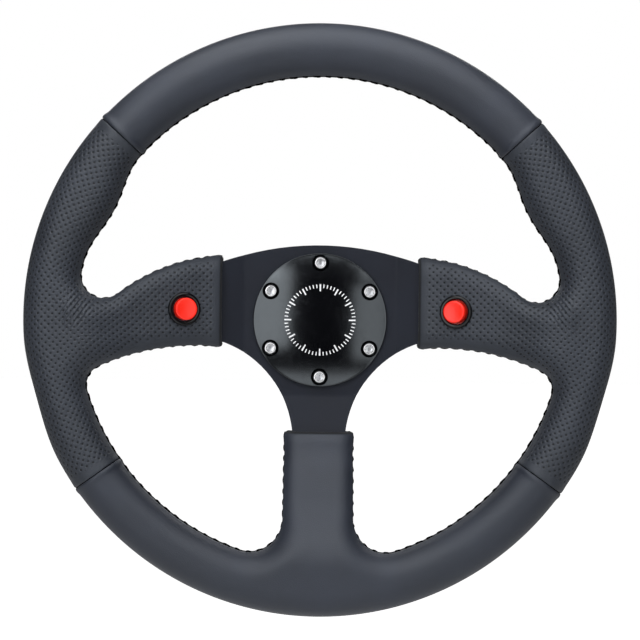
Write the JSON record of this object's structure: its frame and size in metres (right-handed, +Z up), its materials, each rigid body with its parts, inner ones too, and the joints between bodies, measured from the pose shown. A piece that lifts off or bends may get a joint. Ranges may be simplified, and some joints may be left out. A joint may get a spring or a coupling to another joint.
{
  "type": "steering wheel",
  "caption": "Round, dished steering wheel with a leather-covered rim, flat padded spokes, a screwed centre cover and spring-loaded thumb push-buttons.",
  "frame": {"origin": "centre of the bolt circle, on the rear face of the hub plate", "axes": "+Y backwards along the wheel's axis, towards the steering column; the front faces -Y; +Z up towards the top of the rim; +X to the driver's right"},
  "size_m": [0.35, 0.0655, 0.35],
  "materials": {
    "plate_black": "satin black anodised",
    "ring_steel": "plain",
    "rivet_steel": "plain",
    "foam": "moulded",
    "leather_smooth": "satin, fine grain",
    "leather_perforated": "satin, perforated",
    "cover_black": "gloss",
    "screw_steel": "bright",
    "button_black": "gloss",
    "button_red": "gloss",
    "contact_brass": "plain",
    "spring_steel": "bright",
    "insulator": "matt",
    "washer_zinc": "zinc plated",
    "nut_zinc": "nickel plated"
  },
  "bodies": {
    "wheel": {"spoke_plate": "plate_black", "rim_ring": "ring_steel", "rim_rivets": "rivet_steel", "rim_foam": "foam", "leather_top": "leather_smooth", "leather_right": "leather_perforated", "leather_left": "leather_perforated", "leather_bottom": "leather_smooth", "centre_cover": "cover_black", "cover_screws": "screw_steel", "right_bezel": "button_black", "left_bezel": "button_black", "right_spring": "spring_steel", "left_spring": "spring_steel", "right_insulator": "insulator", "left_insulator": "insulator", "right_terminals": "contact_brass", "left_terminals": "contact_brass", "right_washer": "washer_zinc", "left_washer": "washer_zinc", "right_nut": "nut_zinc", "left_nut": "nut_zinc"},
    "right_button": {"right_cap": "button_red", "right_contact": "contact_brass"},
    "left_button": {"left_cap": "button_red", "left_contact": "contact_brass"}
  },
  "joints": [
    {"name": "right_press", "type": "slide", "parent": "wheel", "child": "right_button", "axis": [0.3746, 0.9272, 0], "range_m": [0, 0.0018], "stiffness_N_per_m": 900, "springref_m": -0.002, "deforming": ["right_spring"]},
    {"name": "left_press", "type": "slide", "parent": "wheel", "child": "left_button", "axis": [-0.3746, 0.9272, 0], "range_m": [0, 0.0018], "stiffness_N_per_m": 900, "springref_m": -0.002, "deforming": ["left_spring"]}
  ]
}
